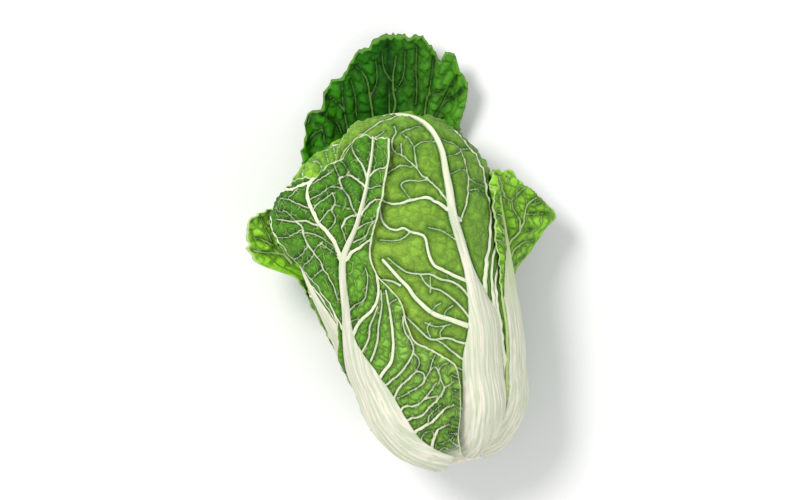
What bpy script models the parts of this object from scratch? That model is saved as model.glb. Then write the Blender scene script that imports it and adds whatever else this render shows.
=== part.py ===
"""A whole napa cabbage, lying on its side.

The head is a nest of leaves round a dense heart. Every leaf is one sheet, laid on a shell of the
head, with its midrib, side veins and waved margin raised from the smooth inner face.

Frame: +Y runs from the cut base to the leaf tips, +Z is up, and the origin is the middle of the
small flat spot that the head lies on. Lengths below are in millimetres and angles in degrees.
"""

import math

import bmesh
import bpy
import numpy as np

MM = 0.001

# Head, without the leaves that stand away from it
HALF_LENGTH = 142.0
HEIGHT_TO_WIDTH = 0.88
# Place along the head, from the base at -1 to the tips at 1, against the half width of the
# ellipsoid there, the sideways bow of the head and the height of its middle above the table
ALONG = [-1.0, -0.75, -0.5, -0.2, 0.1, 0.35, 0.55, 0.75, 1.0]
HALF_WIDTH = [91.0, 86.5, 78.0, 78.5, 83.0, 91.0, 102.0, 107.0, 112.0]
BOW = [9.0, 9.5, 7.5, 2.5, -3.0, -5.5, -6.0, -3.0, 4.0]
MIDDLE = [68.0, 68.5, 70.5, 75.0, 80.0, 82.0, 82.5, 83.0, 84.0]

# Leaf sheets: the thickness of the blade, and the midrib's place from the petiole to the tip
# against its share of its half width and of its height
BLADE = 1.3
RIB_SHAPE = [(0.0, 1.0, 0.7), (0.12, 1.05, 1.0), (0.3, 0.72, 0.85), (0.5, 0.34, 0.6),
             (0.7, 0.2, 0.42), (1.0, 0.08, 0.2)]
WIDEST_RIB = 0.8
SIDE_VEIN = 2.4
CROSS_VEIN = 1.1
VEIN_TAPER = 0.5
VEIN_SLANT = 0.55
MARGIN_WAVES = 5.5
# The mean half width of the head, which turns millimetres into shares of its radius
HEAD_RADIUS = 83.0

# Columns of a leaf's grid, margin to margin: the blade on either side, and the rib between them
BLADE_COLUMNS = [1.0, 0.68, 0.36, 0.0]
RIB_COLUMNS = [0.5, 1.0, 0.5]
CROSS_VEIN_COLUMN = 0.68

# Heart and stem
HEART = 0.84
HEART_RIBS = 9
HEART_RELIEF = 0.012
STEM_RADIUS = 22.0
STEM_BACK = 119.9
STEM_FACE = 142.5
STEM_EDGE = 1.5
STEM_SIDES = 28

# Finish
SHARP_FROM = 9.0
LEAF_ROUGHNESS = 0.55
HEART_ROUGHNESS = 0.5
STEM_ROUGHNESS = 0.6

# Each leaf, from its petiole to its tip:
# path: angle from the base of the head, and azimuth round it, from straight up towards +X
# reach: place along the path, from 0 to 1, with the spread to lower and to higher azimuth
# depth: place along the path, with the radius as a share of the head's
# rib: half width and height of the petiole
# rib_shape: the leaf's own in place of RIB_SHAPE
# tip: how far the tip is rounded off on either side
# wave: height of the waves on either margin
# veins: height of the side veins, as a share of the greatest
# rows: rows of the grid, every other one a side vein
# lift: place along the path, with how far the margins on either side stand away from the head
LEAVES = {
    "leaf_front_left": dict(
        path=[(16, -45), (38, -52), (62, -56), (76, -51), (90, -40), (102, -33), (115, -18),
              (127, -11), (141, -9), (151, -11)],
        reach=[(0.0, 14, 13), (0.065, 16, 24), (0.115, 18, 40), (0.155, 20, 51), (0.2, 20, 55),
               (0.325, 18, 51), (0.39, 18, 45), (0.43, 14, 43), (0.46, 9, 41), (0.5, 8, 38),
               (0.545, 13, 32), (0.6, 24, 21), (0.65, 35, 15), (0.7, 44, 11), (0.76, 58, 9),
               (0.83, 69, 8), (0.93, 64, 7), (1.0, 42, 6)],
        depth=[(0.0, 1.02), (0.3, 1.025), (0.8, 1.03), (1.0, 1.045)],
        rib=(25, 6.5),
        rib_shape=[(0.0, 0.55, 0.7), (0.06, 0.58, 0.85), (0.12, 0.68, 1.0), (0.2, 0.9, 1.0),
                   (0.28, 1.0, 0.95), (0.36, 0.9, 0.85), (0.42, 0.6, 0.75), (0.46, 0.38, 0.65),
                   (0.52, 0.22, 0.58), (0.7, 0.13, 0.4), (1.0, 0.06, 0.2)],
        tip=(0.1, 0.0), wave=(0.006, 0.008), veins=1.0, rows=28,
        lift=[(0.0, 0, 0), (0.62, 0, 0), (0.74, 0.06, 0), (0.83, 0.13, 0), (0.9, 0.08, 0),
              (1.0, 0.03, 0)],
    ),
    "leaf_front_right": dict(
        path=[(15, 33), (40, 31), (60, 32), (76, 37), (92, 38), (102, 37), (115, 35), (127, 37),
              (141, 42), (160, 46), (192, 47)],
        reach=[(0.0, 13, 10), (0.14, 24, 18), (0.3, 48, 33), (0.45, 64, 40), (0.6, 60, 43),
               (0.75, 50, 40), (0.88, 42, 34), (1.0, 26, 20)],
        depth=[(0.0, 0.97), (0.4, 0.96), (0.65, 0.965), (0.8, 0.985), (1.0, 0.99)],
        rib=(19, 7),
        rib_shape=[(0.0, 0.6, 0.7), (0.1, 1.0, 1.0), (0.2, 0.95, 0.95), (0.28, 0.84, 0.88),
                   (0.34, 0.6, 0.78), (0.4, 0.43, 0.7), (0.46, 0.38, 0.64), (0.54, 0.22, 0.55),
                   (0.7, 0.14, 0.42), (1.0, 0.07, 0.2)],
        tip=(0.1, 0.1), wave=(0.003, 0.004), veins=0.8, rows=34,
    ),
    "leaf_crown": dict(
        path=[(20, -25), (60, -45), (100, -52), (140, -52), (190, -50)],
        reach=[(0.0, 10, 10), (0.3, 30, 30), (0.6, 34, 44), (0.8, 44, 46), (1.0, 26, 26)],
        depth=[(0.0, 0.895), (0.7, 0.895), (0.86, 0.925), (1.0, 0.935)],
        rib=(12, 1.5), tip=(0.1, 0.1), wave=(0.002, 0.002), veins=0.6, rows=24,
    ),
    "leaf_left": dict(
        path=[(18, -72), (50, -72), (78, -64), (94, -76), (107, -89), (140, -97)],
        reach=[(0.0, 10, 10), (0.3, 34, 24), (0.6, 44, 34), (0.85, 36, 34), (1.0, 22, 22)],
        depth=[(0.0, 0.935), (0.4, 0.94), (0.6, 0.948), (1.0, 0.948)],
        rib=(15, 3.5), tip=(0.1, 0.1), wave=(0.004, 0.004), veins=0.8, rows=20,
    ),
    "leaf_right": dict(
        path=[(18, 62), (50, 70), (90, 76), (130, 74), (165, 74)],
        reach=[(0.0, 10, 10), (0.3, 30, 34), (0.6, 36, 42), (0.85, 32, 38), (1.0, 20, 22)],
        depth=[(0.0, 0.895), (1.0, 0.895)],
        rib=(14, 1.2), tip=(0.1, 0.1), wave=(0.002, 0.002), veins=0.5, rows=20,
    ),
    "leaf_back_left": dict(
        path=[(18, -142), (60, -148), (100, -150), (166, -150)],
        reach=[(0.0, 10, 10), (0.3, 32, 32), (0.6, 42, 32), (0.85, 40, 16), (1.0, 24, 12)],
        depth=[(0.0, 0.9), (0.5, 0.9), (1.0, 0.88)],
        rib=(14, 3), tip=(0.1, 0.1), wave=(0.002, 0.002), veins=0.5, rows=20,
    ),
    "leaf_back_right": dict(
        path=[(18, 128), (60, 134), (100, 136), (160, 138)],
        reach=[(0.0, 10, 10), (0.3, 32, 32), (0.6, 42, 36), (0.85, 40, 34), (1.0, 24, 24)],
        depth=[(0.0, 0.94), (0.5, 0.94), (0.8, 0.93), (1.0, 0.925)],
        rib=(14, 3), tip=(0.1, 0.1), wave=(0.002, 0.002), veins=0.5, rows=20,
    ),
    "leaf_outer_right": dict(
        path=[(18, 86), (50, 83), (84, 83), (100, 88), (126, 88)],
        reach=[(0.0, 10, 10), (0.3, 14, 34), (0.6, 20, 34), (0.75, 22, 22), (0.9, 20, 20),
               (1.0, 8, 14)],
        depth=[(0.0, 1.005), (0.3, 1.01), (0.8, 1.01), (1.0, 1.0)],
        rib=(12, 5), tip=(0.02, 0.04), wave=(0.003, 0.012), veins=1.0, rows=28,
        lift=[(0.0, 0, 0), (0.62, 0, 0), (0.677, 0, 0.08), (0.70, 0, 0.19), (0.736, 0, 0.36),
              (0.754, 0, 0.44), (0.77, 0, 0.54), (0.82, 0, 0.45), (0.86, 0, 0.32),
              (0.906, 0, 0.18), (1.0, 0, 0.03)],
    ),
    "leaf_outer_left": dict(
        path=[(18, -115), (50, -112), (90, -112), (134, -112)],
        reach=[(0.0, 7, 8), (0.1, 13, 10), (0.3, 32, 16), (0.6, 40, 19), (0.85, 40, 18),
               (1.0, 24, 14)],
        depth=[(0.0, 0.99), (0.5, 1.0), (1.0, 1.0)],
        rib=(14, 4), tip=(0.05, 0.02), wave=(0.01, 0.01), veins=1.0, rows=26,
        lift=[(0.0, 0, 0), (0.3, 0, 0.03), (0.715, 0, 0.03), (0.75, 0, 0.32), (0.785, 0, 0.31),
              (0.815, 0, 0.29), (0.86, 0, 0.24), (0.9, 0, 0.13), (0.94, 0, 0.03),
              (1.0, 0, 0.03)],
    ),
    "leaf_under": dict(
        path=[(21, 180), (50, 180), (90, 180), (109, 180), (126, 181), (134, 181), (145, 178),
              (159, 170)],
        reach=[(0.0, 12, 12), (0.2, 34, 34), (0.4, 52, 52), (0.65, 46, 46), (0.83, 28, 32),
               (0.91, 25, 31), (1.0, 23, 22)],
        depth=[(0.0, 1.0), (0.12, 1.06), (0.4, 1.08), (0.775, 1.08), (0.83, 1.18), (0.91, 1.31),
               (1.0, 1.53)],
        rib=(16, 6), tip=(0.055, 0.1), wave=(0.02, 0.02), veins=1.0, rows=30,
    ),
}

LEVEL = [(0.0, 0, 0), (1.0, 0, 0)]

PALE = (0.86, 0.88, 0.76)
GREENS = {
    "leaf_front_left": (0.16, 0.36, 0.07),
    "leaf_front_right": (0.26, 0.44, 0.12),
    "leaf_crown": (0.2, 0.42, 0.09),
    "leaf_left": (0.18, 0.36, 0.09),
    "leaf_right": (0.2, 0.38, 0.12),
    "leaf_back_left": (0.22, 0.4, 0.12),
    "leaf_back_right": (0.22, 0.4, 0.12),
    "leaf_outer_right": (0.15, 0.33, 0.08),
    "leaf_outer_left": (0.09, 0.26, 0.05),
    "leaf_under": (0.06, 0.22, 0.04),
}


def eased(knots, values, at):
    """A smooth curve through the values, never past them, and held level beyond both ends."""
    knots = np.asarray(knots, float)
    values = np.asarray(values, float)
    at = np.clip(at, knots[0], knots[-1])
    rise = np.diff(values) / np.diff(knots)
    before, after = rise[:-1], rise[1:]
    turns = before * after <= 0
    inner = np.where(turns, 0.0, 2 * before * after / np.where(turns, 1.0, before + after))
    slopes = np.concatenate([rise[:1], inner, rise[-1:]])
    left = np.clip(np.searchsorted(knots, at) - 1, 0, len(knots) - 2)
    step = knots[left + 1] - knots[left]
    t = (at - knots[left]) / step
    return (
        (1 + 2 * t) * (1 - t) ** 2 * values[left]
        + t * (1 - t) ** 2 * step * slopes[left]
        + t * t * (3 - 2 * t) * values[left + 1]
        + t * t * (t - 1) * step * slopes[left + 1]
    )


def eased_column(rows, column, at):
    return eased([row[0] for row in rows], [row[column] for row in rows], at)


def in_head(ball):
    """Points of the unit ball, placed in the head: x sideways, y along it, z up."""
    along = ball[..., 1]
    half_width = eased(ALONG, HALF_WIDTH, along)
    return np.stack(
        [
            eased(ALONG, BOW, along) + half_width * ball[..., 0],
            HALF_LENGTH * along,
            eased(ALONG, MIDDLE, along) + HEIGHT_TO_WIDTH * half_width * ball[..., 2],
        ],
        axis=-1,
    )


def direction(angle, azimuth):
    """The way from the middle of the head at an angle from its base, and the way across it."""
    angle = np.radians(angle)
    azimuth = np.radians(azimuth)
    out = np.stack(
        [
            np.sin(angle) * np.sin(azimuth),
            -np.cos(angle),
            np.sin(angle) * np.cos(azimuth),
        ],
        axis=-1,
    )
    across = np.stack([np.cos(azimuth), np.zeros_like(azimuth), -np.sin(azimuth)], axis=-1)
    return out, across


def leaf_faces(leaf, side, row, rib, blade, relief):
    """Outer and inner face of a leaf at one place or at many.

    side is -1 or 1; row runs from 0 at the petiole to 1 at the tip; rib is 1 on the crest of the
    midrib and 0 beside it; blade is 0 beside the midrib and 1 at the margin; relief is the height
    of a vein there.
    """
    round_off = np.where(side < 0, leaf["tip"][0], leaf["tip"][1])
    along = row * (1 - round_off * blade**2) + VEIN_SLANT * row * (1 - row) * blade
    angles = [point[0] for point in leaf["path"]]
    angle = angles[0] + (angles[-1] - angles[0]) * along
    azimuth = eased(angles, [point[1] for point in leaf["path"]], angle)
    out, across = direction(angle, azimuth)

    def on_side(rows):
        return np.where(side < 0, eased_column(rows, 1, along), eased_column(rows, 2, along))

    reach = np.radians(on_side(leaf["reach"]))
    rib_shape = leaf.get("rib_shape", RIB_SHAPE)
    rib_reach = leaf["rib"][0] / HEAD_RADIUS * eased_column(rib_shape, 1, along)
    rib_reach = np.minimum(rib_reach, WIDEST_RIB * reach)
    spread = np.where(rib > 0, rib_reach * (1 - rib), rib_reach + (reach - rib_reach) * blade)
    spread = side * spread
    way = np.cos(spread)[..., None] * out + np.sin(spread)[..., None] * across

    wave = np.where(side < 0, leaf["wave"][0], leaf["wave"][1])
    wave = wave * blade**2 * (1 + np.sin(2 * math.pi * MARGIN_WAVES * along + side))
    lift = on_side(leaf.get("lift", LEVEL)) * blade
    sheet = eased_column(leaf["depth"], 1, along) + wave + lift
    crest = leaf["rib"][1] * eased_column(rib_shape, 2, along) * rib * (2 - rib)
    raised = (crest + relief * leaf["veins"]) / HEAD_RADIUS
    thickness = BLADE * (1 + lift) / HEAD_RADIUS
    outer = in_head((sheet + raised)[..., None] * way)
    inner = in_head((sheet - thickness)[..., None] * way)
    return outer, inner


def place_values(column, grid_row, rows):
    """Side, row, rib, blade and relief at one place of a leaf's grid."""
    last = 2 * len(BLADE_COLUMNS) + len(RIB_COLUMNS) - 1
    side = -1.0 if column < last / 2 else 1.0
    from_margin = min(column, last - column)
    if from_margin < len(BLADE_COLUMNS):
        rib = 0.0
        blade = BLADE_COLUMNS[from_margin]
    else:
        rib = RIB_COLUMNS[from_margin - len(BLADE_COLUMNS)]
        blade = 0.0
    relief = 0.0
    if grid_row % 2 == 0 and blade > 0:
        relief = SIDE_VEIN * (1 - VEIN_TAPER * blade)
    elif blade == CROSS_VEIN_COLUMN:
        relief = CROSS_VEIN
    return side, grid_row / rows, rib, blade, relief


def material(name, colour, roughness):
    made = bpy.data.materials.new(name)
    made.use_nodes = True
    shader = made.node_tree.nodes["Principled BSDF"]
    shader.inputs["Base Color"].default_value = (*colour, 1.0)
    shader.inputs["Roughness"].default_value = roughness
    shader.inputs["Metallic"].default_value = 0.0
    made.diffuse_color = (*colour, 1.0)
    return made


def add_object(name, mesh_data, colour, roughness, collection):
    mesh = bpy.data.meshes.new(name)
    mesh_data.to_mesh(mesh)
    mesh_data.free()
    mesh.shade_smooth()
    mesh.set_sharp_from_angle(angle=math.radians(SHARP_FROM))
    mesh.materials.append(material(name, colour, roughness))
    made = bpy.data.objects.new(name, mesh)
    collection.objects.link(made)
    return made


def add_leaf(name, leaf, collection):
    """A grid in triangles, laid out as the inner face and extruded to the outer one."""
    sheet = bmesh.new()
    columns = 2 * len(BLADE_COLUMNS) + len(RIB_COLUMNS) - 1
    rows = leaf["rows"]
    bmesh.ops.create_grid(sheet, x_segments=columns, y_segments=rows, size=0.5)
    values = []
    number = sheet.verts.layers.int.new("number")
    for vertex in sheet.verts:
        column = round((vertex.co.x + 0.5) * columns)
        row = round((vertex.co.y + 0.5) * rows)
        vertex[number] = len(values)
        values.append(place_values(column, row, rows))
    outer, inner = leaf_faces(leaf, *np.array(values).T)
    outer[:, 2] = np.maximum(outer[:, 2], 0.0)
    inner[:, 2] = np.maximum(inner[:, 2], BLADE)
    for vertex in sheet.verts:
        vertex.co = outer[vertex[number]] * MM
    bmesh.ops.triangulate(sheet, faces=sheet.faces, quad_method="SHORT_EDGE")
    made = bmesh.ops.extrude_face_region(sheet, geom=sheet.faces[:], use_keep_orig=True)
    for vertex in made["geom"]:
        if isinstance(vertex, bmesh.types.BMVert):
            vertex.co = inner[vertex[number]] * MM
    bmesh.ops.triangulate(sheet, faces=[face for face in sheet.faces if len(face.verts) > 3])
    bmesh.ops.recalc_face_normals(sheet, faces=sheet.faces)
    return add_object(name, sheet, GREENS[name], LEAF_ROUGHNESS, collection)


def add_heart(collection):
    """The dense middle of the head, with the ribs of its own packed leaves."""
    ball = bmesh.new()
    bmesh.ops.create_uvsphere(ball, u_segments=36, v_segments=18, radius=1.0)
    for vertex in ball.verts:
        x, y, z = vertex.co.normalized()
        out = np.array([x, z, -y])
        azimuth = math.atan2(out[0], out[2])
        ribs = HEART_RELIEF * math.cos(HEART_RIBS * azimuth) * (1 - out[1] ** 2)
        folds = HEART_RELIEF * math.sin(3 * azimuth + 9 * out[1]) * max(0.0, out[1]) ** 2
        vertex.co = in_head((HEART + ribs + folds * (1 - out[1] ** 2)) * out) * MM
    bmesh.ops.recalc_face_normals(ball, faces=ball.faces)
    return add_object("heart", ball, PALE, HEART_ROUGHNESS, collection)


def add_stem(collection):
    """The stub of the stem, sawn flat, with the petioles standing round it."""
    stub = bmesh.new()
    bmesh.ops.create_cone(
        stub,
        cap_ends=True,
        segments=STEM_SIDES,
        radius1=STEM_RADIUS * MM,
        radius2=STEM_RADIUS * MM,
        depth=(STEM_FACE - STEM_BACK) * MM,
    )
    rims = [edge for edge in stub.edges if edge.calc_face_angle() > math.radians(45)]
    bmesh.ops.bevel(stub, geom=rims, offset=STEM_EDGE * MM, segments=2, affect="EDGES", profile=0.5)
    bow = eased(ALONG, BOW, -1.0)
    middle = eased(ALONG, MIDDLE, -1.0)
    for vertex in stub.verts:
        x, y, z = vertex.co
        vertex.co = (
            x + bow * MM,
            z - (STEM_FACE + STEM_BACK) / 2 * MM,
            HEIGHT_TO_WIDTH * y + middle * MM,
        )
    bmesh.ops.recalc_face_normals(stub, faces=stub.faces)
    return add_object("stem", stub, PALE, STEM_ROUGHNESS, collection)


def main():
    for old in list(bpy.data.objects):
        bpy.data.objects.remove(old, do_unlink=True)
    collection = bpy.data.collections.new("napa_cabbage")
    bpy.context.scene.collection.children.link(collection)
    add_stem(collection)
    add_heart(collection)
    for name, leaf in LEAVES.items():
        add_leaf(name, leaf, collection)


main()
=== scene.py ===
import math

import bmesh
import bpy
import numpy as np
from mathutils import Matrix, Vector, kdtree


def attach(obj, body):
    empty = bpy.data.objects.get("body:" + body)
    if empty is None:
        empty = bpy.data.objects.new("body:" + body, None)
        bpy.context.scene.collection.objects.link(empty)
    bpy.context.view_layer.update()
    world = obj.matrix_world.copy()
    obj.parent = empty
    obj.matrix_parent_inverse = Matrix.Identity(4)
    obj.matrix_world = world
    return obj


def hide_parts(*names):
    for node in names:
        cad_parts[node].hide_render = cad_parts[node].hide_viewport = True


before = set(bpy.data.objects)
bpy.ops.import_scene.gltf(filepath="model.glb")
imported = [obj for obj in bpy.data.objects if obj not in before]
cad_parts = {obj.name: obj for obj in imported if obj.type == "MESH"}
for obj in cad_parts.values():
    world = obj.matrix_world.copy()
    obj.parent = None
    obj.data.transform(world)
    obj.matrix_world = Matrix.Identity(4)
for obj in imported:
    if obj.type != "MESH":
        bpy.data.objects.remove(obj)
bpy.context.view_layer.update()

# A whole napa cabbage, lying on its side and seen from straight above.
#
# Every leaf is laid on a shell of the head, as its solid is, in the same place and with values that
# are the solid's or a little closer to the photograph. It gets what the solid leaves out: branching
# veins, the fine net between them, puffed cells, crumples, folds and frilled margins.
#
# A way out from the middle of the head has an angle from the cut base, 0 to 180, and an azimuth
# round the head, 0 upwards and growing towards the right. A leaf has a low side, towards smaller
# azimuths, and a high side. Lengths are in millimetres and angles in degrees.

MM = 0.001

# The head's shell, as the solids have it: half its width, its sideways bow and its middle's height
# at places along it, -1 at the cut base to 1 at the crown
HALF_LENGTH = 142
HEIGHT_TO_WIDTH = 0.88
ALONG = [-1, -0.75, -0.5, -0.2, 0.1, 0.35, 0.55, 0.75, 1]
HALF_WIDTH = [91, 86.5, 78, 78.5, 83, 91, 102, 107, 112]
BOW = [9, 9.5, 7.5, 2.5, -3, -5.5, -6, -3, 4]
MIDDLE = [68, 68.5, 70.5, 75, 80, 82, 82.5, 83, 84]
HEAD_RADIUS = 83

# Heart, as a share of the shell, and the stub of the stem
HEART = 0.84
HEART_RIBS = 9
HEART_RIB = 0.012
STEM_RADIUS = 22
STEM_BACK = 119.9
STEM_FACE = 142.5
STEM_SPREAD = 0.34
STEM_EDGE = 1.5
STEM_RINGS = 9
STEM_RING = 2.2

# Leaves. A row of a list starts with its place along the leaf, 0 at the petiole to 1 at the tip.
# path: angle and azimuth of points of the midrib
# reach: how far the low and the high side spread, in degrees
# depth: distance from the middle of the head, as a share of the shell
# rib: half width and height of the midrib, with rib_shape giving shares of both
# rib_low, rib_high: how many times wider the midrib is on that side
# widest_rib: the largest share of the reach that the midrib takes
# tip: how far the low and the high corner of the tip draw back
# tip_line: instead of tip, where the blade ends at places across it, -1 to 1
# notch: side, place across, width and depth of a cut in the tip
# wave, frill: height of the long waves and of the small frills, low and high margin
# lift: how far the low and the high margin stand away
# folds: height of the folds near the tip
# shown: "outer" or "inner", the face that the light falls on
# columns, rows: the fine grid's columns on the low and the high side, and its rows
# cells, puff: spacing of the fine net's cells, and how far they stand out
# branches: side veins that grow by rule on the low and the high side
BLADE = 1.3
LEVEL = [(0, 0, 0), (1, 0, 0)]
EVEN = [(0, 1), (1, 1)]
PLAIN_LEAF = dict(
    rib_shape=[(0, 1, 0.7), (0.12, 1.05, 1), (0.3, 0.72, 0.85), (0.5, 0.34, 0.6),
               (0.7, 0.2, 0.42), (1, 0.08, 0.2)],
    rib_low=EVEN, rib_high=EVEN, widest_rib=0.9, tip=(0.1, 0.1), wave=(0.002, 0.002), lift=LEVEL,
    folds=0, shown="outer", cells=7, puff=0.7, frill=(0.3, 0.3), branches=(13, 13),
)
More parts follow.
